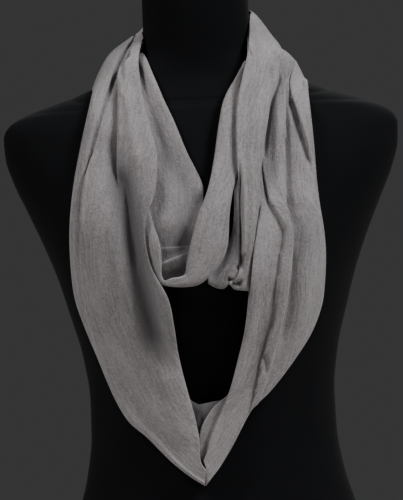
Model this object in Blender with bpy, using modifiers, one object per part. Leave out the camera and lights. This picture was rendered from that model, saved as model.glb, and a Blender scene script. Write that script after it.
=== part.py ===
"""Infinity scarf worn as a doubled loop on a limbless dress form.

Tables hold sizes in millimetres as seen from the front on the form's middle plane:
x to the viewer's right, z up from the form's flat underside. Depths grow toward the back.
"""
import math

import bpy
import numpy as np

# Driving dimensions, millimetres
MM = 0.001
WALL = 1.5
SKIN_GAP = 2.6
VIEW_DISTANCE = 2200.0
VIEW_HEIGHT = 350.0
VIEW_X = -4.5
FORM_POWER = 2.2
RING_POINTS = 40
ACROSS = 2
NECK_ALONG = 2
RING_STEP = 6.0

# Dress form: height, half width, depth to the front, depth to the back
FORM = [
    (0, 163, 97, 107),
    (40, 155, 97, 106),
    (85, 141, 94, 99),
    (130, 128, 89, 86),
    (170, 122.5, 85, 75),
    (205, 122, 86, 70),
    (250, 127.5, 95, 74),
    (290, 138, 108, 81),
    (325, 148, 117, 87),
    (360, 161, 116, 93),
    (395, 176, 108, 97),
    (425, 189, 97, 96),
    (450, 196, 86, 92),
    (470, 197, 77, 87),
    (482, 190, 71, 83),
    (491, 174, 66, 80),
    (502, 141, 60, 76),
    (514, 108, 54, 70),
    (523, 90, 51, 67),
    (533, 70, 50, 64),
    (545, 57, 51, 60),
    (560, 53.5, 53, 56),
    (600, 53, 58, 50),
    (630, 52, 60, 47),
    (637, 49, 57, 44),
    (640, 43, 51, 38),
]

# Fold tables: name, kind, level, level after it, tuck, then the heights where it begins, is full,
# is last full and has gone
ALL_THE_WAY = (-2, -1, 9998, 9999)
LOWER_LEFT_FOLDS = [
    ("roll", "plain", 1.0, 0, 0, ALL_THE_WAY),
    ("lap", "lap", 1.5, -5.5, 4, (240, 330, 9998, 9999)),
    ("panel", "plain", -2.0, 0, 0, (260, 380, 9998, 9999)),
    ("crease", "plain", -5.5, 0, 0, (350, 430, 9998, 9999)),
    ("band", "plain", 1.0, 0, 0, (340, 430, 9998, 9999)),
    ("trough", "plain", -2.5, 0, 0, (250, 350, 430, 500)),
    ("inner", "hem", 0, 0, 7, ALL_THE_WAY),
]
LOWER_RIGHT_FOLDS = [
    ("edge_fold", "plain", -2.5, 0, 0, (420, 480, 505, 515)),
    ("panel", "plain", 0.0, 0, 0, ALL_THE_WAY),
    ("groove", "plain", -4.5, 0, 0, (190, 300, 490, 515)),
    ("ridge", "plain", 2.5, 0, 0, (375, 420, 490, 515)),
    ("strap_out", "plain", 0.5, 0, 0, (200, 250, 380, 410)),
    ("strap_in", "plain", 2.5, 0, 0, (205, 260, 370, 400)),
    ("band", "plain", -1.0, 0, 0, (200, 250, 360, 400)),
    ("band_in", "lap", 0.0, -7.0, 5, (90, 110, 370, 395)),
    ("inner", "end", -7.5, 0, 0, (90, 110, 370, 395)),
]
UPPER_LEFT_FOLDS = [
    ("side", "plain", 0.0, 0, 0, ALL_THE_WAY),
    ("valley", "plain", -1.2, 0, 0, (360, 430, 9998, 9999)),
    ("swell", "plain", 1.0, 0, 0, (360, 400, 9998, 9999)),
    ("neckline", "hem", 0.0, 0, 5, (385, 440, 9998, 9999)),
]
UPPER_RIGHT_FOLDS = [
    ("face", "plain", 1.0, 0, 0, ALL_THE_WAY),
    ("dip", "plain", -1.0, 0, 0, ALL_THE_WAY),
    ("edge", "return", 0.5, 0, 5, ALL_THE_WAY),
    ("strip", "plain", -7.5, 0, 0, ALL_THE_WAY),
    ("strip_in", "end", -9.0, 0, 0, ALL_THE_WAY),
]
ROLL_FOLDS = [
    ("face", "plain", 1.0, 0, 0, ALL_THE_WAY),
    ("lip", "hem", 0.0, 0, 6, ALL_THE_WAY),
]

# Front sections: height outside, height inside, lift of the hidden layer, lift outside, lift inside,
# hidden edge across, hidden edge height, then where the outer turn and each fold cross it
LOWER_LEFT_FRONT = [
    (114.5, 130, 12, 20, 23, -12.2, 196, -12.9, -12.8, -12.7, -12.6, -12.5, -12.4, -12.3, -12.1),
    (122, 138, 12, 19, 23, -14, 196, -23, -22, -21, -19.5, -18, -17, -15.7, -14.5),
    (138, 159, 11, 18, 23, -18, 198, -42, -40, -37.5, -32, -27, -22, -18.5, -15),
    (166, 174, 10, 17, 23, -21, 200, -68, -64, -59, -50, -40, -31, -24, -17),
    (181, 190, 9, 16, 23, -24, 203, -84, -79, -74, -63, -51, -40, -30, -20),
    (204, 206, 8, 15, 22, -29, 209, -97, -92, -86, -72, -59, -47, -36, -24),
    (249, 244, 6, 14, 20, -45, 246, -114, -110, -105, -90, -75, -62, -48, -32),
    (279, 275, 5, 13, 20, -60, 276, -125, -121, -117, -100, -82, -67.5, -52.5, -35.5),
    (306, 302, 4.5, 13, 21, -80, 303, -133, -129, -124, -105, -89, -76, -61, -40),
    (344, 340, 4, 13, 22, -95, 342, -136, -132, -127, -109.5, -93.5, -85.5, -73.5, -57.5),
    (380, 377, 4, 13, 22, -98, 378, -135, -131, -125.5, -109, -92, -87, -78, -60),
    (417, 413, 4, 13, 21, -98, 415, -130, -126, -121, -105, -88, -82, -75, -48),
    (453, 449, 4, 13, 20, -98, 450, -122, -118, -112.5, -99, -85, -77, -69, -45),
    (484, 480, 4, 14, 20, -93, 482, -114, -108.5, -102, -91, -81, -72, -64, -51.5),
]
LOWER_RIGHT_FRONT = [
    (114.5, 130, 12, 20, 23, -10.6, 196, -9.2, -9.3, -9.4, -9.5, -9.6, -9.7, -9.8, -9.9, -10.0, -10.2),
    (125, 132, 12, 20, 23, -9, 196.5, -2, -2.4, -3, -3.6, -4.2, -4.8, -5.6, -7.6, -9.6, -10.6),
    (131, 139, 11, 19, 23, -6, 197, 3, 2.5, 1.3, 0.3, -0.8, -2, -4, -7.5, -11.5, -13),
    (152, 145, 10, 18, 23, 0, 198, 17, 16.3, 15, 13.5, 12, 10.5, 7, 0, -9, -14.5),
    (173, 170, 9, 17, 23, 7, 199, 29, 28.2, 27, 25.5, 24, 22, 18, 9.5, 0, -14),
    (188, 190, 8, 16, 22, 14, 201, 38.5, 37.5, 36, 34.5, 33, 31, 27, 18.5, 10, -1),
    (207, 210, 7, 15, 22, 30, 208, 59, 57.5, 54.5, 51, 49.5, 48, 41, 30, 19, 21),
    (237, 241, 6, 14, 21, 52, 240, 84, 80.5, 74.5, 67.5, 65, 62, 52, 40, 29, 35),
    (264, 268, 5, 13, 21, 72, 266, 102.5, 97.5, 87.5, 75.5, 73, 69, 60.5, 48, 36.5, 43),
    (291, 295, 4.5, 13, 21, 88, 293, 113.5, 107.5, 94.5, 81.5, 79, 76, 67, 54, 42.5, 49),
    (315, 319, 4, 13, 21, 94, 317, 117.5, 111.5, 98.5, 84.5, 82, 79.5, 71, 58.5, 47, 53.5),
    (343, 347, 4, 13, 20, 96, 345, 119.5, 113.5, 101, 87.5, 85.5, 83.5, 74, 62, 51.5, 58),
    (367, 371, 4, 13, 16, 96, 369, 118.5, 113, 101, 89, 87, 84.5, 77, 66, 56.5, 62),
    (392, 395, 4, 13, 9, 96, 393, 115.5, 110, 98, 84, 80, 76, 69, 65, 61, 57),
    (419, 422, 4, 13, 5, 94, 420, 113.5, 108.5, 97, 83, 76, 70, 65, 60, 56, 50),
    (450, 453, 4, 13, 4.5, 92, 451, 112.5, 106, 95, 83.5, 76, 70, 65.5, 60.5, 56, 50),
    (483, 487, 4, 13, 4.5, 90, 485, 110.5, 98, 90, 83.5, 77, 72, 67, 62, 57, 51),
]
UPPER_LEFT_FRONT = [
    (321, 321, 3, 3.5, 3.5, 0, 0, -45, -42, -36, -29, -20),
    (327, 328, 3, 7.0, 6.0, 0, 0, -44, -41, -35, -27, -16),
    (333, 341, 3, 11.5, 11.0, 0, 0, -44, -41, -35, -27, -15),
    (338.5, 350, 3, 13.5, 13.5, 0, 0, -44, -41, -35, -27, -14),
    (337, 347.5, 3, 11.2, 10.8, 0, 0, -44, -41, -35, -27, -14),
    (338.5, 348, 3, 8.6, 8.2, 0, 0, -44, -41, -35, -27, -14),
    (346, 351, 3, 9.6, 9.0, 0, 0, -44, -41, -35, -27, -13),
    (354, 354.5, 3, 10.8, 10.2, 0, 0, -44, -41, -35, -27, -12),
    (352, 352.5, 3, 8.2, 7.4, 0, 0, -45, -41, -35, -27, -12),
    (354, 354, 3, 5.8, 4.6, 0, 0, -46, -41, -35, -27, -11),
    (365, 363, 3, 6.6, 5.2, 0, 0, -47, -42, -36, -26, -9),
    (380, 377, 3, 7.5, 6.5, 0, 0, -49, -45, -38, -25, -5),
    (397, 393, 3, 7.0, 7.0, 0, 0, -54, -49, -40, -24, 0),
    (419, 412, 3, 6.5, 6.5, 0, 0, -60, -52, -42, -22, 0),
    (452, 448, 3, 6.5, 6.5, 0, 0, -60, -51, -42, -28, -15),
    (484, 480, 3, 6.5, 6.5, 0, 0, -61, -54, -47, -38, -26.5),
    (504, 500, 3, 6.5, 6.5, 0, 0, -64, -58, -52, -44, -35),
]
UPPER_RIGHT_FRONT = [
    (306, 311, 6, 17, 17, 32, 312, 41, 35, 27, 20, 10, 1.5),
    (322, 325, 5, 17, 17, 32, 323, 43, 40, 35, 31, 17, 4),
    (340, 341, 5, 17, 17, 33, 340, 46.5, 43, 38.5, 35, 26, 16),
    (360, 360, 5, 17, 17, 35, 360, 50, 46, 41, 37, 31.5, 25.5),
    (385, 386, 6, 17, 17.5, 40, 385, 54, 49, 43, 37, 33, 29.5),
    (408, 409, 10, 18.5, 18.5, 45, 408, 56, 50, 44, 37.5, 35, 32),
    (428, 429, 10, 20, 20, 48, 428, 58.5, 51, 43, 35.5, 39, 42),
    (446, 449, 11, 21, 21, 50, 447, 61, 52, 43, 35.5, 40, 44),
    (474, 473, 12, 22, 22, 55, 474, 67, 57, 46, 36, 41, 46),
    (496, 496, 13, 23, 23, 58, 496, 71.5, 61, 49, 38.5, 44, 49),
]
ROLL_FRONT = [
    (397, 397, 5, 12, 13, -64, 397, -67, -62, -56.5),
    (379, 378, 5, 12.5, 13, -61, 379, -66, -59, -51.5),
    (358, 358, 5, 12.5, 17, -58, 358, -64, -55, -46),
    (344, 341, 5, 12.5, 17, -56, 343, -60, -53, -45),
    (329, 327, 6, 12.5, 16, -51.5, 328, -55, -50, -45.5),
    (319, 321, 9, 14, 16, -46, 322, -49, -46, -43),
    (315, 323, 10, 16, 17, -37, 320, -36, -36, -35.5),
    (314, 324, 10, 18, 18, -24, 320, -23, -24, -27),
    (315.5, 326, 11, 19, 18, -12, 321, -9, -16, -22.5),
    (325, 328, 12, 19.5, 18.5, 0, 327, 4, -11, -21.5),
    (343, 341, 12.5, 20, 19, 10, 343, 17.5, -1, -19),
    (356, 358, 12.5, 20, 19, 13, 357, 22, 3, -14.5),
    (385, 385, 11, 19, 18, 16, 385, 25, 8, -6),
    (410, 410, 7, 15, 16, 20, 410, 28, 14, 4.5),
    (436, 437, 4, 13, 13, 27, 436, 35, 23, 11.5),
    (471, 472, 4, 13, 13, 28, 471, 35.5, 27, 18),
    (497, 500, 4, 13, 13, 32, 498, 37.5, 31, 25),
]

# Sections over the shoulder and behind the neck: outer x, z, depth, inner x, z, depth, bulge,
# reach of the hidden layer, its drop, then the share of the way across at each fold
LOWER_LEFT_NECK = [
    (-108, 514, -46, -57, 511, -68, 2, 18, 8, 0.14, 0.34, 0.46, 0.57, 0.70, 0.83),
    (-107, 519, -10, -61, 539, -50, 7, 14, 7, 0.30, 0.60, 0.68, 0.75, 0.82, 0.89),
    (-102, 523, 30, -58, 562, -10, 9, 14, 7, 0.38, 0.72, 0.77, 0.81, 0.85, 0.90),
    (-86, 518, 74, -55, 575, 27, 10, 14, 7, 0.36, 0.68, 0.74, 0.79, 0.84, 0.90),
    (-48, 514, 96, -35, 590, 60, 10, 14, 7, 0.22, 0.45, 0.58, 0.70, 0.82, 0.92),
    (-0.35, 513, 99, -0.35, 592, 72, 8, 14, 7, 0.20, 0.42, 0.56, 0.68, 0.80, 0.91),
]
UPPER_RIGHT_NECK = [
    (80, 517, -62, 43, 520, -78, 3, 16, 7, 0.28, 0.58, 0.98, 0.90, 0.82),
    (84, 539, -26, 53, 549, -52, 3, 12, 7, 0.28, 0.58, 0.98, 0.90, 0.82),
    (88, 541, 22, 56, 580, -8, 5, 12, 7, 0.28, 0.58, 0.98, 0.90, 0.82),
    (78, 526, 70, 55.5, 588, 27, 11, 12, 7, 0.28, 0.58, 0.98, 0.90, 0.82),
    (48, 514, 96, 35, 590, 60, 10, 14, 7, 0.28, 0.58, 0.98, 0.90, 0.82),
    (0.35, 513, 99, 0.35, 592, 72, 8, 14, 7, 0.28, 0.58, 0.98, 0.90, 0.82),
]
UPPER_LEFT_NECK = [
    (-72, 535, -24, -53, 545, -36, 1, 8, 3, 0.25, 0.5, 0.75),
    (-80, 531, 6, -57, 554, -3, 2, 8, 3, 0.25, 0.5, 0.75),
    (-78, 521, 46, -53, 556, 28, 2, 8, 3, 0.25, 0.5, 0.75),
    (-45, 507, 76, -31, 557, 54, 2, 8, 3, 0.25, 0.5, 0.75),
    (-0.35, 502, 83, -0.35, 557, 64, 2, 8, 3, 0.25, 0.5, 0.75),
]
LOWER_RIGHT_NECK = [
    (109, 513, -36, 60, 514, -54, 3, 9, 4, 0.38, 0.47, 0.54, 0.61, 0.68, 0.74, 0.82, 0.90),
    (107, 522, 2, 63, 536, -26, 4, 8, 4, 0.28, 0.38, 0.47, 0.56, 0.64, 0.72, 0.81, 0.90),
    (102, 519, 40, 60, 546, 8, 3, 8, 4, 0.24, 0.34, 0.44, 0.54, 0.63, 0.72, 0.81, 0.90),
    (81, 510, 68, 48, 552, 40, 2, 8, 4.5, 0.22, 0.32, 0.42, 0.52, 0.62, 0.72, 0.81, 0.90),
    (44, 502.5, 81, 28, 556, 57, 2, 8, 4, 0.22, 0.32, 0.42, 0.52, 0.62, 0.72, 0.81, 0.90),
    (0.35, 502, 83, 0.35, 557, 64, 2, 8, 3, 0.22, 0.32, 0.42, 0.52, 0.62, 0.72, 0.81, 0.90),
]
ROLL_NECK = [
    (42.5, 518, -60, 38, 520, -58, 0, 2, 4, 0.5),
]


def slopes(xs, ys):
    """Slopes of a smooth curve through rising xs that never overshoots its points."""
    step = np.diff(xs)
    rise = np.diff(ys) / step
    middle = np.zeros(len(xs))
    middle[0] = rise[0]
    middle[-1] = rise[-1]
    for i in range(1, len(xs) - 1):
        if rise[i - 1] * rise[i] > 0:
            a = 2 * step[i] + step[i - 1]
            b = step[i] + 2 * step[i - 1]
            middle[i] = (a + b) / (a / rise[i - 1] + b / rise[i])
    return middle


FORM_TABLE = np.array(FORM, dtype=float)
FORM_SLOPES = [slopes(FORM_TABLE[:, 0], FORM_TABLE[:, c]) for c in (1, 2, 3)]


def form_size(z):
    """Half width, front depth and back depth of the form at height z."""
    heights = FORM_TABLE[:, 0]
    z = min(max(z, heights[0]), heights[-1])
    i = min(int(np.searchsorted(heights, z, side="right")) - 1, len(heights) - 2)
    span = heights[i + 1] - heights[i]
    t = (z - heights[i]) / span
    sizes = []
    for c, slope in enumerate(FORM_SLOPES):
        a = FORM_TABLE[i, c + 1]
        b = FORM_TABLE[i + 1, c + 1]
        low = a * (1 + 2 * t) * (1 - t) ** 2 + slope[i] * span * t * (1 - t) ** 2
        high = b * t * t * (3 - 2 * t) + slope[i + 1] * span * t * t * (t - 1)
        sizes.append(low + high)
    return sizes


def form_value(p):
    """Zero on the form's skin, growing outward."""
    width, front, back = form_size(p[2])
    depth = front if p[1] < 0 else back
    reach = (abs(p[0]) / width) ** FORM_POWER + (abs(p[1]) / depth) ** FORM_POWER
    return max(reach, 1e-9) ** (1 / FORM_POWER) - 1


def form_outward(p):
    """Distance from the form's skin, roughly, and the direction straight away from it."""
    value = form_value(p)
    slope = np.zeros(3)
    for axis in range(3):
        step = np.zeros(3)
        step[axis] = 0.5
        slope[axis] = form_value(p + step) - form_value(p - step)
    steep = np.linalg.norm(slope)
    return value / steep, slope / steep


def form_front(x, z):
    """How far the form's skin stands in front of its middle plane."""
    width, front, back = form_size(z)
    share = min(abs(x) / width, 0.97)
    return front * (1 - share ** FORM_POWER) ** (1 / FORM_POWER)


def from_view(x, z, depth):
    """The point at this depth that is seen at x, z on the middle plane."""
    near = 1 + depth / VIEW_DISTANCE
    return np.array([VIEW_X + (x - VIEW_X) * near, depth, VIEW_HEIGHT + (z - VIEW_HEIGHT) * near])


def over_front(x, z, lift):
    """The point seen at x, z that stands this far off the form's front."""
    p = np.array([x, 0.0, z])
    for turn in range(4):
        p = from_view(x, z, -form_front(p[0], p[2]) - lift)
    return p


def eased(value, full, gone):
    """1 at full, 0 at gone, smooth in between."""
    t = min(max((value - gone) / (full - gone), 0.0), 1.0)
    return t * t * (3 - 2 * t)


def fold_life(height, limits):
    """How fully a fold is there at this height."""
    begins, full, last, gone = limits
    return eased(height, full, begins) * eased(height, last, gone)


def fold_knots(kind, at, length, level, after, tuck, live):
    """Places across a section, in shares of its length, and levels that shape one fold."""
    pinch = min(1.0, length / 60.0) / length
    if kind == "lap":
        middle = 0.5 * (level + after) * live
        return [
            (at - (0.6 + 2.4 * live) * pinch, level * live),
            (at - 0.2 * (1 - live) * pinch, middle + (level - 1 - middle) * live),
            (at + (0.2 - (tuck + 0.2) * live) * pinch, middle + (level - 3.6 - middle) * live),
            (at + (0.6 + 0.9 * live) * pinch, after * live),
        ]
    if kind == "return":
        return [(at - 3 * pinch, level), (at, level - 1.5), (at - tuck * pinch, level - 4)]
    if kind == "hem":
        return [
            (at - 3.5 * pinch, level),
            (at - 2 * (1 - live) * pinch, level - 1.6 * live),
            (at - (1 + 2 * live) * pinch, level - 3.6 * live),
            (at - tuck * live * pinch, level - 4.2 * live),
        ]
    return [(at, level * live)]


def front_knots(row, folds, turned):
    """Points across one section laid over the form's front."""
    z_out, z_in, back, lift_out, lift_in, hem_x, hem_z = row[:7]
    places = row[7:]
    x_out = places[0]
    wide = places[-1] - x_out
    if folds[-1][1] == "end":
        wide = places[-2] - x_out
    tall = z_in - z_out
    length = math.hypot(wide, tall)
    hem_run = math.hypot(hem_x - x_out, hem_z - z_out)
    hem_near = min(5.0 / hem_run, 0.4)
    points = []
    knots = [(0.0, 0.0)]
    if turned:
        for share, lift in ((1.0, back), (0.6, back), (hem_near, back + 0.4)):
            x = x_out + (hem_x - x_out) * share
            z = z_out + (hem_z - z_out) * share
            points.append(over_front(x, z, lift))
        points.append(over_front(x_out, z_out, 0.5 * (back + lift_out)))
        pinch = min(1.0, length / 60.0) / length
        knots = [(min(3.5 * pinch, 0.5 * (places[1] - x_out) / wide), -0.8)]
    for place, fold in zip(places[1:], folds):
        name, kind, level, after, tuck, limits = fold
        live = fold_life(z_out, limits)
        at = (place - x_out) / wide
        knots += fold_knots(kind, at, length, level, after, tuck, live)
    for at, level in knots:
        lift = lift_out + (lift_in - lift_out) * at + level
        points.append(over_front(x_out + wide * at, z_out + tall * at, lift))
    return points


def neck_knots(row, folds, turned):
    """Points across one section between two named ends beside or behind the neck."""
    outer = from_view(row[0], row[1], row[2])
    inner = from_view(row[3], row[4], row[5])
    bulge, reach, drop = row[6:9]
    shares = list(row[9:]) + [1.0]
    length = float(np.linalg.norm(inner - outer))
    pinch = min(1.0, length / 60.0) / length

    def stand(at, level):
        base = outer + (inner - outer) * at
        lift = level + bulge * 4 * at * (1 - at)
        return base + form_outward(base)[1] * lift

    points = []
    knots = [(0.0, 0.0)]
    if turned:
        points = [
            stand(reach / length, -drop - bulge * 4 * reach / length * (1 - reach / length)),
            stand(0.6 * reach / length, -drop - bulge * 2 * reach / length),
            stand(5 * pinch, -drop),
            stand(0.0, -0.5 * drop),
        ]
        knots = [(min(3.5 * pinch, 0.5 * shares[0]), -0.8)]
    for at, fold in zip(shares, folds):
        name, kind, level, after, tuck, limits = fold
        knots += fold_knots(kind, at, length, level, after, tuck, fold_life(row[1], limits))
    for at, level in knots:
        points.append(stand(at, level))
    return points


def through(points, counts):
    """A smooth curve through points along the first axis, with the given count in each span."""
    pts = np.asarray(points, dtype=float)
    first = 2 * pts[0] - pts[1]
    last = 2 * pts[-1] - pts[-2]
    pts = np.concatenate([first[None], pts, last[None]])
    out = []
    for i in range(1, len(pts) - 2):
        a, b, c, d = pts[i - 1], pts[i], pts[i + 1], pts[i + 2]
        ab = np.maximum(np.linalg.norm(b - a, axis=-1, keepdims=True), 1e-3) ** 0.5
        bc = np.maximum(np.linalg.norm(c - b, axis=-1, keepdims=True), 1e-3) ** 0.5
        cd = np.maximum(np.linalg.norm(d - c, axis=-1, keepdims=True), 1e-3) ** 0.5
        enter = (c - b) + bc * ((b - a) / ab - (c - a) / (ab + bc))
        leave = (c - b) + bc * ((d - c) / cd - (d - b) / (bc + cd))
        for k in range(counts[i - 1]):
            t = k / counts[i - 1]
            out.append(
                b * (1 + 2 * t) * (1 - t) ** 2
                + enter * t * (1 - t) ** 2
                + c * t * t * (3 - 2 * t)
                + leave * t * t * (t - 1)
            )
    out.append(pts[-2])
    return np.array(out)


def sheet_grid(front, neck, folds, turned, along):
    """Grid of points over one stretch of cloth, in millimetres."""
    rows = [front_knots(row, folds, turned) for row in front]
    rows += [neck_knots(row, folds, turned) for row in neck]
    crossed = np.array([through(row, [ACROSS] * (len(row) - 1)) for row in rows])
    grid = through(crossed, [along] * (len(front) - 1) + [NECK_ALONG] * len(neck))
    for i in range(grid.shape[0]):
        for j in range(grid.shape[1]):
            for turn in range(2):
                gap, away = form_outward(grid[i, j])
                if gap < SKIN_GAP:
                    grid[i, j] += away * (SKIN_GAP - gap)
    return grid


def new_material(name, colour, roughness):
    material = bpy.data.materials.new(name)
    material.use_nodes = True
    shader = material.node_tree.nodes["Principled BSDF"]
    shader.inputs["Base Color"].default_value = colour
    shader.inputs["Roughness"].default_value = roughness
    return material


def add_object(name, vertices, faces, material, collection):
    mesh = bpy.data.meshes.new(name)
    mesh.from_pydata(vertices, [], faces)
    mesh.materials.append(material)
    thing = bpy.data.objects.new(name, mesh)
    collection.objects.link(thing)
    return thing


def add_cloth(name, front, neck, folds, turned, along, material, collection):
    """One stretch of cloth: a grid given its wall by Solidify."""
    grid = sheet_grid(front, neck, folds, turned, along)
    down, over = grid.shape[:2]
    faces = []
    for i in range(down - 1):
        for j in range(over - 1):
            a = i * over + j
            faces.append((a, a + 1, a + over + 1, a + over))
    vertices = [tuple(p * MM) for p in grid.reshape(-1, 3)]
    thing = add_object(name, vertices, faces, material, collection)
    wall = thing.modifiers.new("wall", "SOLIDIFY")
    wall.thickness = WALL * MM
    wall.offset = 0.0
    wall.use_even_offset = False
    wall.use_rim = True
    return thing


def add_form(name, material, collection):
    """The dress form: rings lofted from the flat underside to the neck's top."""
    heights = []
    for lower, upper in zip(FORM[:-1], FORM[1:]):
        tight = 480 < upper[0] < 575
        steps = max(1, round((upper[0] - lower[0]) / RING_STEP)) if tight else 1
        heights += [lower[0] + (upper[0] - lower[0]) * k / steps for k in range(steps)]
    heights.append(FORM[-1][0])
    vertices = []
    for z in heights:
        width, front, back = form_size(z)
        for k in range(RING_POINTS):
            angle = 2 * math.pi * k / RING_POINTS
            side = math.cos(angle)
            deep = math.sin(angle)
            depth = back if deep > 0 else front
            x = width * math.copysign(abs(side) ** (2 / FORM_POWER), side)
            y = depth * math.copysign(abs(deep) ** (2 / FORM_POWER), deep)
            vertices.append((x * MM, y * MM, z * MM))
    faces = [tuple(reversed(range(RING_POINTS)))]
    for i in range(len(heights) - 1):
        for k in range(RING_POINTS):
            a = i * RING_POINTS + k
            b = i * RING_POINTS + (k + 1) % RING_POINTS
            faces.append((a, b, b + RING_POINTS, a + RING_POINTS))
    top = (len(heights) - 1) * RING_POINTS
    faces.append(tuple(range(top, top + RING_POINTS)))
    return add_object(name, vertices, faces, material, collection)


def centre_part(objects):
    """Move everything so the middle of the whole stands over the origin."""
    bpy.context.view_layer.update()
    graph = bpy.context.evaluated_depsgraph_get()
    corners = []
    for thing in objects:
        shown = thing.evaluated_get(graph)
        corners += [tuple(v.co) for v in shown.data.vertices]
    corners = np.array(corners)
    middle = 0.5 * (corners.min(axis=0) + corners.max(axis=0))
    for thing in objects:
        for vertex in thing.data.vertices:
            vertex.co.x -= middle[0]
            vertex.co.y -= middle[1]
    print("middle moved by", [round(float(v) * 1000, 2) for v in middle[:2]])


for thing in list(bpy.data.objects):
    bpy.data.objects.remove(thing, do_unlink=True)
part = bpy.data.collections.new("infinity_scarf_on_dress_form")
bpy.context.scene.collection.children.link(part)
jersey = new_material("black_jersey", (0.008, 0.010, 0.013, 1), 0.85)
viscose = new_material("taupe_viscose", (0.27, 0.235, 0.225, 1), 0.8)

built = [
    add_form("dress_form", jersey, part),
    add_cloth("lower_left", LOWER_LEFT_FRONT, LOWER_LEFT_NECK, LOWER_LEFT_FOLDS, True, 1, viscose, part),
    add_cloth("lower_right", LOWER_RIGHT_FRONT, LOWER_RIGHT_NECK, LOWER_RIGHT_FOLDS, True, 1, viscose, part),
    add_cloth("upper_left", UPPER_LEFT_FRONT, UPPER_LEFT_NECK, UPPER_LEFT_FOLDS, False, 1, viscose, part),
    add_cloth("upper_right", UPPER_RIGHT_FRONT, UPPER_RIGHT_NECK, UPPER_RIGHT_FOLDS, True, 2, viscose, part),
    add_cloth("upper_roll", ROLL_FRONT, ROLL_NECK, ROLL_FOLDS, True, 1, viscose, part),
]
centre_part(built)
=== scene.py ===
import math

import bpy
import numpy as np
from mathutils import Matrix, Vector


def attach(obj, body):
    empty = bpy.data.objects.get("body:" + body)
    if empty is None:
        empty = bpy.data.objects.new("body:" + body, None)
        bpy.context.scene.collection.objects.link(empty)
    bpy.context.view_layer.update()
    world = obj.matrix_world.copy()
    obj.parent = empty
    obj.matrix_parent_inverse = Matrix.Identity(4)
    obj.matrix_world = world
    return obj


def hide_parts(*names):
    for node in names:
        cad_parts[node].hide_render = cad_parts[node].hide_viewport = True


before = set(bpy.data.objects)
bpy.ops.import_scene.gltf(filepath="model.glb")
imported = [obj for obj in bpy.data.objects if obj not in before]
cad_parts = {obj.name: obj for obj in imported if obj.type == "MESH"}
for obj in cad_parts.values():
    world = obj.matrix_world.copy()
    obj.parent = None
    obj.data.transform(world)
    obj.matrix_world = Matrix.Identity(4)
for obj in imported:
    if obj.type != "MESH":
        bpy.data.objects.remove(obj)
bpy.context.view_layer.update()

# Camera and studio: the photograph looks level at the chest of the form from about two metres,
# and it stands a little out of true, so the camera is rolled by the same small angle. Two softboxes
# stand in front and one behind.
# Lengths are in millimetres and MM turns them to metres; lamps and floor are given in metres.
MM = 0.001
VIEW_DISTANCE = 2200.0
VIEW_HEIGHT = 350.0
VIEW_X = -4.5
VIEW_ROLL = 2.55
SEEN_TALL = 500.0
CENTRE_SHIFT = 15.48
SENSOR_WIDE = 36.0
LAMPS_AIM = (0, 0, 0.36)
# Name, place and width in metres, watts, tint
SOFTBOXES = [
    ("softbox_left", (-1.6, -1.1, 2.1), 0.8, 38, (1.0, 0.985, 0.975)),
    ("softbox_right", (1.6, -1.1, 2.05), 0.8, 62, (0.99, 0.99, 1.0)),
    ("softbox_back", (0.7, 1.8, 1.9), 1.0, 18, (1.0, 1.0, 1.0)),
]

camera_data = bpy.data.cameras.new("studio_camera")
camera = bpy.data.objects.new("studio_camera", camera_data)
bpy.context.scene.collection.objects.link(camera)
camera.location = (VIEW_X * MM, (CENTRE_SHIFT - VIEW_DISTANCE) * MM, VIEW_HEIGHT * MM)
camera.rotation_euler = (math.radians(90), 0, 0)
camera.rotation_euler.rotate_axis("Z", -math.radians(VIEW_ROLL))
camera_data.sensor_width = SENSOR_WIDE
camera_data.lens = SENSOR_WIDE * VIEW_DISTANCE / SEEN_TALL
bpy.context.scene.camera = camera

for name, place, size, power, tint in SOFTBOXES:
    lamp_data = bpy.data.lights.new(name, "AREA")
    lamp_data.shape = "SQUARE"
    lamp_data.size = size
    lamp_data.energy = power
    lamp_data.color = tint
    lamp = bpy.data.objects.new(name, lamp_data)
    bpy.context.scene.collection.objects.link(lamp)
    lamp.location = place
    aim = Vector(LAMPS_AIM) - Vector(place)
    lamp.rotation_euler = aim.to_track_quat("-Z", "Y").to_euler()


def linear(code):
    """An sRGB hex colour as the linear numbers that shaders take."""
    parts = [int(code[i:i + 2], 16) / 255 for i in (0, 2, 4)]
    bright = [p / 12.92 if p <= 0.04045 else ((p + 0.055) / 1.055) ** 2.4 for p in parts]
    return tuple(bright) + (1.0,)


def add_node(tree, kind, settings=None, inputs=None):
    """Adds one shader node, sets it up, and links or fills its inputs."""
    node = tree.nodes.new(kind)
    for key, value in (settings or {}).items():
        setattr(node, key, value)
    for key, value in (inputs or {}).items():
        if isinstance(value, bpy.types.NodeSocket):
            tree.links.new(value, node.inputs[key])
        else:
            node.inputs[key].default_value = value
    return node


world = bpy.data.worlds.new("studio_grey")
bpy.context.scene.world = world
world.use_nodes = True
world.node_tree.nodes["Background"].inputs["Color"].default_value = linear("3A3A3B")
world.node_tree.nodes["Background"].inputs["Strength"].default_value = 1.0

# Floor: a plain board that the form stands on, painted pale and matt with a roller. It belongs to
# the studio and lies loose, short enough to stay out of the photograph's frame.
FLOOR_HALF = 0.62
MARKS_ACROSS = 60.0

floor_mesh = bpy.data.meshes.new("floor")
corners = [(x * FLOOR_HALF, y * FLOOR_HALF, 0) for x, y in ((-1, -1), (1, -1), (1, 1), (-1, 1))]
floor_mesh.from_pydata(corners, [], [(0, 1, 2, 3)])
floor = bpy.data.objects.new("floor", floor_mesh)
bpy.context.scene.collection.objects.link(floor)
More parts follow.
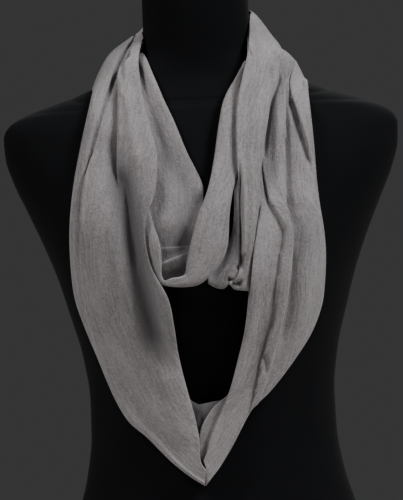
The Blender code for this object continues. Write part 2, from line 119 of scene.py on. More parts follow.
# Rolled wall paint on board: matt and pale. Its roller marks, 60 across the board's 1.24 m and so
# about 21 mm each, hardly show
painted_board = bpy.data.materials.new("pale_painted_board")
painted_board.use_nodes = True
tree = painted_board.node_tree
shader = tree.nodes["Principled BSDF"]
shader.inputs["Base Color"].default_value = linear("D6D4D0")
shader.inputs["Roughness"].default_value = 0.8
marks = add_node(tree, "ShaderNodeTexNoise", inputs={"Scale": MARKS_ACROSS, "Detail": 4.0})
relief = {"Strength": 0.05, "Distance": 1.0 * MM, "Height": marks.outputs["Fac"]}
bump = add_node(tree, "ShaderNodeBump", inputs=relief)
tree.links.new(bump.outputs["Normal"], shader.inputs["Normal"])
floor_mesh.materials.append(painted_board)

# Dress form: a limbless foam torso under one drawn-on cover of black cotton jersey, with a cap
# sewn on round the neck. Lofted from the CAD's own sections, smooth, with the neck seam and the
# side seams pressed in. It stands on its own flat underside.
FORM_POWER = 2.2
RING_POINTS = 160
RING_STEP = 5.0
NECK_SEAM_FRONT = 497.0
NECK_SEAM_BACK = 520.0
NECK_DEPTH = 60.0
SEAM_WIDE = 1.6
SEAM_DEEP = 0.9
SEAM_ROWS = 30
SEAM_ROW_STEP = 1.2
SEAM_ROWS_BELOW = 6
SIDE_SEAM_Y = 4.0
SIDE_SEAM_WIDE = 1.4
SIDE_SEAM_DEEP = 0.6
SLOPE_STEP = 0.5
WIDEST_SHARE = 0.97
KNIT_MM = 2.0
CLOUDS_PER_M = 14.0
# Height, half width, front depth, back depth
FORM = [
    (0, 163, 97, 107),
    (40, 155, 97, 106),
    (85, 141, 94, 99),
    (130, 128, 89, 86),
    (170, 122.5, 85, 75),
    (205, 122, 86, 70),
    (250, 127.5, 95, 74),
    (290, 138, 108, 81),
    (325, 148, 117, 87),
    (360, 161, 116, 93),
    (395, 176, 108, 97),
    (425, 189, 97, 96),
    (450, 196, 86, 92),
    (470, 197, 77, 87),
    (482, 190, 71, 83),
    (491, 174, 66, 80),
    (502, 141, 60, 76),
    (514, 108, 54, 70),
    (523, 90, 51, 67),
    (533, 70, 50, 64),
    (545, 57, 51, 60),
    (560, 53.5, 53, 56),
    (600, 53, 58, 50),
    (630, 52, 60, 47),
    (637, 49, 57, 44),
    (640, 43, 51, 38),
]


def slopes(xs, ys):
    """Slopes of a smooth curve through rising xs that never overshoots its points."""
    step = np.diff(xs)
    rise = np.diff(ys) / step
    middle = np.zeros(len(xs))
    middle[0] = rise[0]
    middle[-1] = rise[-1]
    for i in range(1, len(xs) - 1):
        if rise[i - 1] * rise[i] > 0:
            a = 2 * step[i] + step[i - 1]
            b = step[i] + 2 * step[i - 1]
            middle[i] = (a + b) / (a / rise[i - 1] + b / rise[i])
    return middle


FORM_TABLE = np.array(FORM, dtype=float)
FORM_SLOPES = np.array([slopes(FORM_TABLE[:, 0], FORM_TABLE[:, c]) for c in (1, 2, 3)])


def form_size(z):
    """Half widths, front depths and back depths of the form at heights z."""
    heights = FORM_TABLE[:, 0]
    z = np.clip(z, heights[0], heights[-1])
    i = np.clip(np.searchsorted(heights, z, side="right") - 1, 0, len(heights) - 2)
    span = heights[i + 1] - heights[i]
    t = (z - heights[i]) / span
    sizes = []
    for c in range(3):
        a = FORM_TABLE[i, c + 1]
        b = FORM_TABLE[i + 1, c + 1]
        low = a * (1 + 2 * t) * (1 - t) ** 2 + FORM_SLOPES[c, i] * span * t * (1 - t) ** 2
        high = b * t * t * (3 - 2 * t) + FORM_SLOPES[c, i + 1] * span * t * t * (t - 1)
        sizes.append(low + high)
    return sizes


def form_value(p):
    """Zero on the form's skin, growing outward."""
    width, front, back = form_size(p[..., 2])
    depth = np.where(p[..., 1] < 0, front, back)
    reach = (np.abs(p[..., 0]) / width) ** FORM_POWER + (np.abs(p[..., 1]) / depth) ** FORM_POWER
    return np.maximum(reach, 1e-9) ** (1 / FORM_POWER) - 1


def form_outward(p):
    """Distances from the form's skin, roughly, and the directions straight away from it."""
    slope = np.zeros(p.shape)
    for axis in range(3):
        step = np.zeros(3)
        step[axis] = SLOPE_STEP
        slope[..., axis] = form_value(p + step) - form_value(p - step)
    steep = np.linalg.norm(slope, axis=-1, keepdims=True)
    return form_value(p)[..., None] / steep, slope / steep


def form_front(x, z):
    """How far the form's skin stands in front of its middle plane."""
    width, front, back = form_size(z)
    share = np.minimum(np.abs(x) / width, WIDEST_SHARE)
    return front * (1 - share ** FORM_POWER) ** (1 / FORM_POWER)


def put_mesh(name, vertices, faces, material):
    """A smooth-shaded mesh object; vertices come in millimetres in the photograph's frame."""
    mesh = bpy.data.meshes.new(name)
    moved = np.asarray(vertices, dtype=float) + np.array([0.0, CENTRE_SHIFT, 0.0])
    mesh.from_pydata([tuple(v) for v in moved * MM], [], faces)
    mesh.materials.append(material)
    mesh.polygons.foreach_set("use_smooth", [True] * len(mesh.polygons))
    thing = bpy.data.objects.new(name, mesh)
    bpy.context.scene.collection.objects.link(thing)
    return thing


# Cotton jersey, knitted and dyed black: matt, faintly blue in the light, with a soft nap.
cotton_jersey = bpy.data.materials.new("cotton_jersey_knitted_black")
cotton_jersey.use_nodes = True
tree = cotton_jersey.node_tree
shader = tree.nodes["Principled BSDF"]
shader.inputs["Roughness"].default_value = 0.9
shader.inputs["Sheen Weight"].default_value = 0.01
shader.inputs["Sheen Roughness"].default_value = 0.5
shader.inputs["Specular IOR Level"].default_value = 0.12
place = add_node(tree, "ShaderNodeTexCoord")
# Knit stitches are about 1.2 mm across; drawn at 2 mm so that they show
where = place.outputs["Object"]
knit = {"Vector": where, "Scale": 1000.0 / KNIT_MM, "Detail": 2.0}
stitches = add_node(tree, "ShaderNodeTexNoise", inputs=knit)
clouds = {"Vector": where, "Scale": CLOUDS_PER_M, "Detail": 3.0}
cloudy = add_node(tree, "ShaderNodeTexNoise", inputs=clouds)
shade = add_node(tree, "ShaderNodeValToRGB", inputs={"Fac": cloudy.outputs["Fac"]})
shade.color_ramp.elements[0].position = 0.3
shade.color_ramp.elements[0].color = linear("07080A")
shade.color_ramp.elements[1].position = 0.75
shade.color_ramp.elements[1].color = linear("0B0C0F")
tree.links.new(shade.outputs["Color"], shader.inputs["Base Color"])
relief = {"Strength": 0.25, "Distance": 0.0006, "Height": stitches.outputs["Fac"]}
bump = add_node(tree, "ShaderNodeBump", inputs=relief)
tree.links.new(bump.outputs["Normal"], shader.inputs["Normal"])

heights = []
for lower, upper in zip(FORM[:-1], FORM[1:]):
    steps = max(1, round((upper[0] - lower[0]) / RING_STEP))
    heights += [lower[0] + (upper[0] - lower[0]) * k / steps for k in range(steps)]
heights += [NECK_SEAM_FRONT - SEAM_ROWS_BELOW + SEAM_ROW_STEP * k for k in range(SEAM_ROWS)]
heights = sorted(heights) + [FORM[-1][0]]
turn = np.linspace(0, 2 * math.pi, RING_POINTS, endpoint=False)
rings = []
for z in heights:
    width, front, back = form_size(np.array([float(z)]))
    side = np.cos(turn)
    deep = np.sin(turn)
    depth = np.where(deep > 0, back, front)
    x = width * np.sign(side) * np.abs(side) ** (2 / FORM_POWER)
    y = depth * np.sign(deep) * np.abs(deep) ** (2 / FORM_POWER)
    rings.append(np.stack([x, y, np.full(RING_POINTS, float(z))], axis=-1))
skin = np.array(rings)
seam_rise = NECK_SEAM_BACK - NECK_SEAM_FRONT
neck_seam = NECK_SEAM_FRONT + seam_rise * (skin[..., 1] / NECK_DEPTH + 1) / 2
side_seam = np.abs(skin[..., 1] - SIDE_SEAM_Y)
inset = SEAM_DEEP * np.exp(-((skin[..., 2] - neck_seam) / SEAM_WIDE) ** 2)
side_inset = SIDE_SEAM_DEEP * np.exp(-(side_seam / SIDE_SEAM_WIDE) ** 2)
inset = np.maximum(inset, side_inset * (skin[..., 2] < neck_seam))
outward = form_outward(skin)[1]
outward[0] = 0
outward[-1] = 0
skin = skin - outward * inset[..., None]
faces = [tuple(reversed(range(RING_POINTS)))]
for i in range(len(heights) - 1):
    for k in range(RING_POINTS):
        a = i * RING_POINTS + k
        b = i * RING_POINTS + (k + 1) % RING_POINTS
        faces.append((a, b, b + RING_POINTS, a + RING_POINTS))
top = (len(heights) - 1) * RING_POINTS
faces.append(tuple(range(top, top + RING_POINTS)))
form_cover = put_mesh("form_cover", skin.reshape(-1, 3), faces, cotton_jersey)
form_cover.data.polygons[0].use_smooth = False
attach(form_cover, "root")
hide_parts("dress_form")

# Scarf cloth: one light crepe-like viscose weave, dyed taupe in the piece, taken as 2.05 m round and
# 0.5 m wide and sewn into a ring. The five stretches below are the parts of that ring that show.
# Fine slubs run along its length, and it takes the light softly, with almost no shine.
viscose_weave = bpy.data.materials.new("viscose_crepe_woven_taupe")
viscose_weave.use_nodes = True
tree = viscose_weave.node_tree
shader = tree.nodes["Principled BSDF"]
shader.inputs["Roughness"].default_value = 0.88
shader.inputs["Sheen Weight"].default_value = 0.22
shader.inputs["Sheen Roughness"].default_value = 0.45
shader.inputs["Specular IOR Level"].default_value = 0.2
place = add_node(tree, "ShaderNodeUVMap", {"uv_map": "weave"})


def cloth_noise(across_mm, along_mm, detail, rough):
    """Noise over the flat cloth whose marks are this many millimetres across and along it."""
    stretch = (1000.0 / across_mm, 1000.0 / along_mm, 1.0)
    way = add_node(tree, "ShaderNodeMapping", inputs={"Vector": place.outputs["UV"], "Scale": stretch})
    inputs = {"Vector": way.outputs["Vector"], "Scale": 1.0, "Detail": detail, "Roughness": rough}
    return add_node(tree, "ShaderNodeTexNoise", inputs=inputs).outputs["Fac"]


def added(first, second, share):
    """The first plus a share of the second."""
    node = add_node(tree, "ShaderNodeMath", {"operation": "MULTIPLY_ADD"})
    tree.links.new(second, node.inputs[0])
    node.inputs[1].default_value = share
    tree.links.new(first, node.inputs[2])
    return node.outputs["Value"]


# Slubs are 2 mm wide and 30 mm long; threads are 0.3 mm apart, drawn at 1.6 mm so that they show;
# crepe yarn shrinks the weave into a crinkle of 3 to 6 mm; dye takes a little unevenly over 60 mm
slubs = cloth_noise(1.9, 30.0, 3.0, 0.6)
grain = cloth_noise(1.6, 2.2, 2.0, 0.6)
crinkle = cloth_noise(3.4, 6.5, 3.0, 0.65)
uneven = cloth_noise(25.0, 80.0, 3.0, 0.5)
tone = added(added(added(slubs, grain, 1.1), crinkle, 0.8), uneven, 1.0)
TONE_LOW = 1.55
TONE_HIGH = 2.35
limits = {"Value": tone, "From Min": TONE_LOW, "From Max": TONE_HIGH}
spread = add_node(tree, "ShaderNodeMapRange", inputs=limits)
shade = add_node(tree, "ShaderNodeValToRGB", inputs={"Fac": spread.outputs["Result"]})
shade.color_ramp.elements[0].color = linear("767273")
shade.color_ramp.elements[1].color = linear("A29D9E")
# Painted shade: the bottoms of folds and the tucked layer are mixed toward a darker, cooler grey
painted_shade = add_node(tree, "ShaderNodeAttribute", {"attribute_name": "painted_shade"})
painted_shade_mix = add_node(tree, "ShaderNodeMix", {"data_type": "RGBA"}, {"Factor": painted_shade.outputs["Fac"]})
tree.links.new(shade.outputs["Color"], painted_shade_mix.inputs[6])
painted_shade_mix.inputs[7].default_value = linear("5C5A5C")
tree.links.new(painted_shade_mix.outputs[2], shader.inputs["Base Color"])
height = added(added(crinkle, slubs, 0.5), grain, 0.4)
relief = {"Strength": 0.75, "Distance": 1.0 * MM, "Height": height}
bump = add_node(tree, "ShaderNodeBump", inputs=relief)
tree.links.new(bump.outputs["Normal"], shader.inputs["Normal"])

# The wall, its least gap to the form, and the cells of its grid
CLOTH_THICK = 0.6
SKIN_GAP = 1.2
SHOWN_CELL = 0.9
HIDDEN_CELL = 4.0
LONG_CELL = 2.2
# The layer that turns under at the outer edge: its knots, where it starts, and how it fades in
HIDDEN_KNOTS = 4
TURN_NEAR = 5.0
TURN_START = 3.5
TURN_DIP = -0.8
SHOWN_RAMP = 3.0
TUCK_RAMP = 2.0
# Folds keep their full width on sections longer than this
FULL_LENGTH = 60.0
# Pressed folds: how sharp a step is, how far its edge hangs over, and how they fade out
LINE_PARTS = 6
STEP_SHARP = 0.8
OVERHANG = 1.5
OVERHANG_WIDE = 3.0
FOLD_FADE = 6.0
# Where the folds of the front give way to those of the back, by depth
BACK_FROM = 8.0
BACK_BLEND = 24.0
# How deep a fold has to be to take the full painted shade, and how much painted shade the tucked layer
# takes
PAINTED_SHADE_DEEP = 20.0
HIDDEN_PAINTED_SHADE = 0.95
# Limits of a fold that is there at every height
ALL_THE_WAY = (-2, -1, 9998, 9999)


def from_view(x, z, depth):
    """The point at this depth that is seen at x, z on the middle plane."""
    near = 1 + depth / VIEW_DISTANCE
    return np.array([VIEW_X + (x - VIEW_X) * near, depth, VIEW_HEIGHT + (z - VIEW_HEIGHT) * near])


def over_front(x, z, lift):
    """The point seen at x, z that stands this far off the form's front."""
    p = np.array([x, 0.0, z])
    for turn in range(4):
        p = from_view(x, z, -float(form_front(p[0], p[2])) - lift)
    return p


def eased(value, full, gone):
    """1 at full, 0 at gone, smooth in between."""
    t = min(max((value - gone) / (full - gone), 0.0), 1.0)
    return t * t * (3 - 2 * t)


def fold_life(height, limits):
    """How fully a fold is there at this height."""
    begins, full, last, gone = limits
    return eased(height, full, begins) * eased(height, last, gone)


def fold_knots(kind, at, length, level, after, tuck, live):
    """Places across a section, in shares of its length, and levels that shape one fold. The bare
    numbers are millimetres of the fold's own outline, beside the place and level that it is given."""
    pinch = min(1.0, length / FULL_LENGTH) / length
    if kind == "lap":
        middle = 0.5 * (level + after) * live
        return [
            (at - (0.6 + 2.4 * live) * pinch, level * live),
            (at - 0.2 * (1 - live) * pinch, middle + (level - 1 - middle) * live),
            (at + (0.2 - (tuck + 0.2) * live) * pinch, middle + (level - 3.6 - middle) * live),
            (at + (0.6 + 0.9 * live) * pinch, after * live),
        ]
    if kind == "return":
        return [(at - 3 * pinch, level), (at, level - 1.5), (at - tuck * pinch, level - 4)]
    if kind == "hem":
        return [
            (at - 3.5 * pinch, level),
            (at - 2 * (1 - live) * pinch, level - 1.6 * live),
            (at - (1 + 2 * live) * pinch, level - 3.6 * live),
            (at - tuck * live * pinch, level - 4.2 * live),
        ]
    return [(at, level * live)]


def front_knots(row, folds, turned):
    """Points across one section laid over the form's front. A row holds the heights of its outer and
    inner ends, how far the hidden layer, the outer and the inner end stand off the form, where the
    hidden layer ends (x, z), then x of the outer end and of each fold, as the camera sees them."""
    z_out, z_in, back, lift_out, lift_in, hem_x, hem_z = row[:7]
    places = row[7:]
    x_out = places[0]
    wide = places[-1] - x_out
    if folds[-1][1] == "end":
        wide = places[-2] - x_out
    tall = z_in - z_out
    length = math.hypot(wide, tall)
    points = []
    knots = [(0.0, 0.0)]
    if turned:
        hem_run = math.hypot(hem_x - x_out, hem_z - z_out)
        hem_near = min(TURN_NEAR / hem_run, 0.4)
        for share, lift in ((1.0, back), (0.6, back), (hem_near, back + 0.4)):
            x = x_out + (hem_x - x_out) * share
            z = z_out + (hem_z - z_out) * share
            points.append(over_front(x, z, lift))
        points.append(over_front(x_out, z_out, 0.5 * (back + lift_out)))
        pinch = min(1.0, length / FULL_LENGTH) / length
        knots = [(min(TURN_START * pinch, 0.5 * (places[1] - x_out) / wide), TURN_DIP)]
    for place, fold in zip(places[1:], folds):
        name, kind, level, after, tuck, limits = fold
        live = fold_life(z_out, limits)
        knots += fold_knots(kind, (place - x_out) / wide, length, level, after, tuck, live)
    for at, level in knots:
        lift = lift_out + (lift_in - lift_out) * at + level
        points.append(over_front(x_out + wide * at, z_out + tall * at, lift))
    return points


def neck_knots(row, folds, turned):
    """Points across one section beside or behind the neck. A row holds x, z and depth of its outer
    end and of its inner end, how far it bulges, how far the hidden layer reaches in and drops, then
    the share of the way across of each fold but the last, which ends it."""
    outer = from_view(row[0], row[1], row[2])
    inner = from_view(row[3], row[4], row[5])
    bulge, reach, drop = row[6:9]
    shares = list(row[9:]) + [1.0]
    length = float(np.linalg.norm(inner - outer))
    pinch = min(1.0, length / FULL_LENGTH) / length

    def stand(at, level):
        base = outer + (inner - outer) * at
        lift = level + bulge * 4 * at * (1 - at)
        return base + form_outward(base)[1] * lift

    points = []
    knots = [(0.0, 0.0)]
    if turned:
        points = [
            stand(reach / length, -drop - bulge * 4 * reach / length * (1 - reach / length)),
            stand(0.6 * reach / length, -drop - bulge * 2 * reach / length),
            stand(TURN_NEAR * pinch, -drop),
            stand(0.0, -0.5 * drop),
        ]
        knots = [(min(TURN_START * pinch, 0.5 * shares[0]), TURN_DIP)]
    for at, fold in zip(shares, folds):
        name, kind, level, after, tuck, limits = fold
        knots += fold_knots(kind, at, length, level, after, tuck, fold_life(row[1], limits))
    for at, level in knots:
        points.append(stand(at, level))
    return points


def through(points, counts):
    """A smooth curve through points along the first axis, with the given count in each span."""
    pts = np.asarray(points, dtype=float)
    pts = np.concatenate([(2 * pts[0] - pts[1])[None], pts, (2 * pts[-1] - pts[-2])[None]])
    out = []
    for i in range(1, len(pts) - 2):
        a, b, c, d = pts[i - 1], pts[i], pts[i + 1], pts[i + 2]
        ab = np.maximum(np.linalg.norm(b - a, axis=-1, keepdims=True), 1e-3) ** 0.5
        bc = np.maximum(np.linalg.norm(c - b, axis=-1, keepdims=True), 1e-3) ** 0.5
        cd = np.maximum(np.linalg.norm(d - c, axis=-1, keepdims=True), 1e-3) ** 0.5
        enter = (c - b) + bc * ((b - a) / ab - (c - a) / (ab + bc))
        leave = (c - b) + bc * ((d - c) / cd - (d - b) / (bc + cd))
        for k in range(counts[i - 1]):
            t = k / counts[i - 1]
            out.append(
                b * (1 + 2 * t) * (1 - t) ** 2
                + enter * t * (1 - t) ** 2
                + c * t * t * (3 - 2 * t)
                + leave * t * t * (t - 1)
            )
    out.append(pts[-2])
    return np.array(out)


def creased(grid, away, shown, relief):
    """Presses the drawn folds into a grid: soft troughs and ridges, and steps where cloth lies over
    cloth. Each row says how wide and deep it is and the line it follows as the camera sees it. A row of
    the kind that moves nothing only paints shade into the colour there. The depth that comes back, from
    every row, sets how much painted shade the colour takes."""
    near = 1 + grid[..., 1] / VIEW_DISTANCE
    seen_x = VIEW_X + (grid[..., 0] - VIEW_X) / near
    seen_z = VIEW_HEIGHT + (grid[..., 2] - VIEW_HEIGHT) / near
    seen = np.stack([seen_x, seen_z], axis=-1)
    height = np.zeros(grid.shape[:2])
    shade_only = np.zeros(grid.shape[:2])
    slide = np.zeros(grid.shape)
    for name, kind, wide, deep, path in relief:
        line = through(path, [LINE_PARTS] * (len(path) - 1))
        lengths = np.concatenate([[0.0], np.linalg.norm(np.diff(line, axis=0), axis=-1).cumsum()])
        best = np.full(height.shape, 1e9)
        side = np.ones(height.shape)
        beside = np.zeros(grid.shape)
        share = np.zeros(height.shape)
        for k in range(len(line) - 1):
            run = line[k + 1] - line[k]
            t = ((seen - line[k]) @ run) / (run @ run)
            t = np.clip(t, 0, 1)
            off = seen - line[k] - run * t[..., None]
            far = np.linalg.norm(off, axis=-1)
            nearer = far < best
            best = np.where(nearer, far, best)
            turn = run[0] * off[..., 1] - run[1] * off[..., 0]
            side = np.where(nearer, np.sign(turn), side)
            square = np.array([-run[1], 0.0, run[0]]) / np.linalg.norm(run)
            beside = np.where(nearer[..., None], square, beside)
            reached = (lengths[k] + t * (lengths[k + 1] - lengths[k])) / lengths[-1]
            share = np.where(nearer, reached, share)
        fade = np.clip(np.minimum(share, 1 - share) * FOLD_FADE, 0, 1)
        if kind == "step":
            height -= deep * np.tanh(side * best / STEP_SHARP) * np.exp(-best / wide) * fade
            over = OVERHANG * np.exp(-best / OVERHANG_WIDE) * fade * shown * side
            slide -= beside * over[..., None]
        elif kind == "trough":
            height -= deep * np.exp(-((best / wide) ** 2)) * fade
        # Painted shade only: this darkens the colour and moves nothing
        elif kind == "shade_only":
            shade_only -= deep * np.exp(-((best / wide) ** 2)) * fade
        else:
            height += deep * np.exp(-((best / wide) ** 2)) * fade
    return away * (height * shown)[..., None] + slide, (height + shade_only) * shown


def cloth_piece(name, front, neck, folds, turned, relief, back_relief, node):
    """One stretch of the scarf: a fine grid laid through its sections, creased, and made a thin shell.
    It replaces its CAD node. A fold row holds its name, kind, level, level after it, tuck, and the
    heights where it begins, is full, last is full, and is gone."""
    rows = [front_knots(row, folds, turned) for row in front]
    rows += [neck_knots(row, folds, turned) for row in neck]
    rows = np.array(rows)
    spans = np.linalg.norm(np.diff(rows, axis=1), axis=-1).mean(axis=0)
    cells = np.full(len(spans), SHOWN_CELL)
    cells[:HIDDEN_KNOTS if turned else 0] = HIDDEN_CELL
    counts = [max(2, int(round(c))) for c in spans / cells]
    crossed = np.array([through(row, counts) for row in rows])
    steps = np.linalg.norm(np.diff(crossed, axis=0), axis=-1).mean(axis=1)
    grid = through(crossed, [max(2, int(round(step / LONG_CELL))) for step in steps])
    shown = np.ones(grid.shape[1])
    tucked = np.zeros(grid.shape[1])
    if turned:
        first = sum(counts[:HIDDEN_KNOTS])
        shown = np.clip((np.arange(grid.shape[1]) - first) / SHOWN_RAMP, 0, 1)
        tucked = np.clip((first - SHOWN_RAMP - np.arange(grid.shape[1])) / TUCK_RAMP, 0, 1)
    away = form_outward(grid)[1]
    behind = np.clip((grid[..., 1] - BACK_FROM) / BACK_BLEND, 0, 1)
    moved, depth = creased(grid, away, shown, relief)
    moved_back, depth_back = creased(grid, away, shown, back_relief)
    grid = grid + moved * (1 - behind)[..., None] + moved_back * behind[..., None]
    depth = depth * (1 - behind) + depth_back * behind
    # Painted shade: the share of darker grey grows with the depth of each fold and is nearly full on
    # the tucked layer
    painted_shade_share = np.maximum(np.clip(-depth / PAINTED_SHADE_DEEP, 0, 1), HIDDEN_PAINTED_SHADE * tucked)
    for turn in range(2):
        gap, away = form_outward(grid)
        grid = grid + away * np.maximum(SKIN_GAP - gap, 0)
    down, over = grid.shape[:2]
    across = np.linalg.norm(np.diff(grid, axis=1), axis=-1).cumsum(axis=1)
    across = np.concatenate([np.zeros((down, 1)), across], axis=1)
    across = across - across[:, over // 2, None]
    along = np.linalg.norm(np.diff(grid, axis=0), axis=-1).mean(axis=1).cumsum()
    along = np.repeat(np.concatenate([[0.0], along])[:, None], over, axis=1)
    faces = []
    for i in range(down - 1):
        for j in range(over - 1):
            a = i * over + j
            faces.append((a, a + 1, a + over + 1, a + over))
    piece = put_mesh(name, grid.reshape(-1, 3), faces, viscose_weave)
    weave = piece.data.uv_layers.new(name="weave")
    spots = np.stack([across.reshape(-1), along.reshape(-1)], axis=-1) * MM
    corners = np.zeros(len(piece.data.loops), dtype=int)
    piece.data.loops.foreach_get("vertex_index", corners)
    weave.data.foreach_set("uv", spots[corners].reshape(-1))
    # The painted shade goes to the material as a point attribute
    painted_shade_layer = piece.data.attributes.new("painted_shade", "FLOAT", "POINT")
    painted_shade_layer.data.foreach_set("value", painted_shade_share.reshape(-1))
    wall = piece.modifiers.new("wall", "SOLIDIFY")
    wall.thickness = CLOTH_THICK * MM
    wall.offset = 0.0
    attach(piece, "root")
    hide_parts(node)
    return piece


# Upper loop, left: the drape that falls from the left of the neck across the chest, with two folds
# stacked under it where the loop turns. It is the same viscose weave, unlined, and nothing holds it
# but its own weight on the form.
UPPER_LEFT_FOLDS = [
    ("side", "plain", 0.0, 0, 0, ALL_THE_WAY),
    ("valley", "plain", -1.2, 0, 0, (360, 430, 9998, 9999)),
    ("swell", "plain", 1.0, 0, 0, (360, 400, 9998, 9999)),
    ("neckline", "hem", 0.0, 0, 6, (395, 415, 9998, 9999)),
]
UPPER_LEFT_FRONT = [
    (321, 321, 3, 3.5, 3.5, 0, 0, -45, -42, -36, -29, -20),
    (327, 328, 3, 7.0, 6.0, 0, 0, -45, -41, -35, -27, -16),
    (333, 341, 3, 11.5, 11.0, 0, 0, -45, -41, -35, -27, -15),
    (338.5, 350, 3, 13.5, 13.5, 0, 0, -45, -41, -35, -27, -14),
    (337, 347.5, 3, 11.5, 11.0, 0, 0, -45, -41, -35, -27, -14),
    (338.5, 348, 3, 9.2, 8.8, 0, 0, -45, -41, -35, -27, -14),
    (346, 351, 3, 9.8, 9.2, 0, 0, -45, -41, -35, -27, -13),
    (354, 354.5, 3, 10.8, 10.2, 0, 0, -46, -41, -35, -27, -12),
    (352, 352.5, 3, 8.6, 7.6, 0, 0, -47, -41, -35, -27, -12),
    (354, 354, 3, 6.6, 5.0, 0, 0, -48, -41, -35, -27, -11),
    (365, 363, 3, 7.0, 5.4, 0, 0, -50, -42, -36, -26, -9),
    (380, 377, 3, 8.5, 7.5, 0, 0, -53.5, -45, -38, -25, -5),
    (397, 393, 3, 7.0, 7.0, 0, 0, -58, -49, -40, -24, 0),
    (419, 412, 3, 6.5, 6.5, 0, 0, -60, -52, -42, -22, 0),
    (452, 448, 3, 6.5, 6.5, 0, 0, -60, -51, -42, -28, -15),
    (484, 480, 3, 6.5, 6.5, 0, 0, -61, -54, -47, -38, -26.5),
    (504, 500, 3, 6.5, 6.5, 0, 0, -64, -58, -52, -44, -35),
]
UPPER_LEFT_NECK = [
    (-72, 533, -24, -53, 546, -36, 1, 8, 3, 0.25, 0.5, 0.75),
    (-80, 529, 6, -58, 552, -3, 2, 8, 3, 0.25, 0.5, 0.75),
    (-78, 521, 46, -54, 556, 28, 2, 8, 3, 0.25, 0.5, 0.75),
    (-45, 507, 76, -31, 557, 54, 2, 8, 3, 0.25, 0.5, 0.75),
    (0.0, 502, 83, 0.0, 557, 64, 2, 8, 3, 0.25, 0.5, 0.75),
]
UPPER_LEFT_RELIEF = [
    ("neckline", "ridge", 4, 1.6, [(-52, 541), (-35, 496), (-16, 449), (-3, 416)]),
    ("beside", "trough", 8, 3.0, [(-51, 511), (-41, 467), (-28, 431), (-15, 401)]),
    ("under", "trough", 9, 5.0, [(-2, 410), (-12, 388), (-19, 370), (-25, 340)]),
    # Painted shade: the three rows below move nothing and only darken the colour, in the pocket under
    # the drape, over the drape's lower half and in the bowl at its foot
    ("tucked", "shade_only", 9, 11.0, [(-50, 350), (-36, 351), (-22, 355), (-8, 372)]),
    ("shaded", "shade_only", 24, 6.0, [(-34, 470), (-28, 420), (-24, 380), (-24, 320)]),
    ("bowl", "shade_only", 8, 10.0, [(-40, 326), (-24, 330), (-12, 342)]),
    ("bowl_rim", "ridge", 2, 1.2, [(-46, 337), (-34, 341), (-26, 345.5), (-16, 352)]),
    ("swell", "ridge", 9, 2.6, [(-46, 440), (-38, 402), (-37, 362)]),
]
UPPER_LEFT_BACK = [
    ("nape_low", "ridge", 6, 1.5, [(-76, 530), (-45, 524), (0, 520), (30, 521)]),
]
cloth_piece(
    "scarf_upper_left", UPPER_LEFT_FRONT, UPPER_LEFT_NECK, UPPER_LEFT_FOLDS, False,
    UPPER_LEFT_RELIEF, UPPER_LEFT_BACK, "upper_left",
)

# Upper loop, inner roll: the band that rolls down the right of the neck, under the chest drape and
# up again at the left. It is the inner edge of the same weave, rolled over on itself by hand, and it
# is held by the layers that lie on it.
ROLL_FOLDS = [
    ("face", "plain", 1.0, 0, 0, ALL_THE_WAY),
    ("lip", "hem", 0.0, 0, 6, ALL_THE_WAY),
]
ROLL_FRONT = [
    (397, 397, 5, 12, 13, -64, 397, -67, -62, -56.5),
    (379, 378, 5, 12.5, 13, -61, 379, -66, -59, -51.5),
    (358, 358, 5, 12.5, 17, -58, 358, -64, -55, -46),
    (344, 341, 5, 12.5, 17, -56, 343, -60, -53, -45),
    (329, 327, 6, 12.5, 16, -51.5, 328, -55, -50, -45.5),
    (319, 321, 9, 14, 16, -46, 322, -49, -46, -43),
    (315, 323, 10, 16, 17, -37, 320, -36, -36, -35.5),
    (314, 324, 10, 18, 18, -24, 320, -23, -24, -27),
    (315.5, 326, 11, 19, 18, -12, 321, -9, -16, -22.5),
    (325, 328, 12, 19.5, 18.5, 0, 327, 4, -11, -21.5),
    (343, 341, 12.5, 20, 19, 10, 343, 17.5, -1, -19),
    (356, 358, 12.5, 20, 19, 13, 357, 22, 3, -14.5),
    (385, 385, 11, 19, 18, 16, 385, 25, 8, -6),
    (410, 410, 7, 15, 16, 20, 410, 30, 14, 4.5),
    (436, 437, 4, 13, 13, 27, 436, 39, 24, 11.5),
    (471, 472, 4, 13, 13, 28, 471, 41, 29, 18),
    (497, 500, 4, 13, 13, 32, 498, 43, 34, 25),
]
ROLL_NECK = [
    (47, 521, -58, 38.5, 523, -60, 0, 2, 4, 0.5),
    (52, 536, -46, 47, 537, -48, 0, 1, 3, 0.5),
]
ROLL_RELIEF = [
    ("face", "ridge", 8, 1.8, [(31, 503), (24, 449), (11, 388), (-3, 344)]),
    ("wrinkle_high", "ridge", 1.4, 0.5, [(22, 485), (36, 494)]),
    ("wrinkle", "ridge", 1.4, 0.5, [(20, 476), (35, 485)]),
    ("wrinkle_low", "ridge", 1.4, 0.4, [(19, 468), (34, 475)]),
    ("pressed", "ridge", 1, 0.35, [(-1, 382), (27, 387)]),
]
cloth_piece(
    "scarf_upper_roll", ROLL_FRONT, ROLL_NECK, ROLL_FOLDS, True,
    ROLL_RELIEF, [], "upper_roll",
)

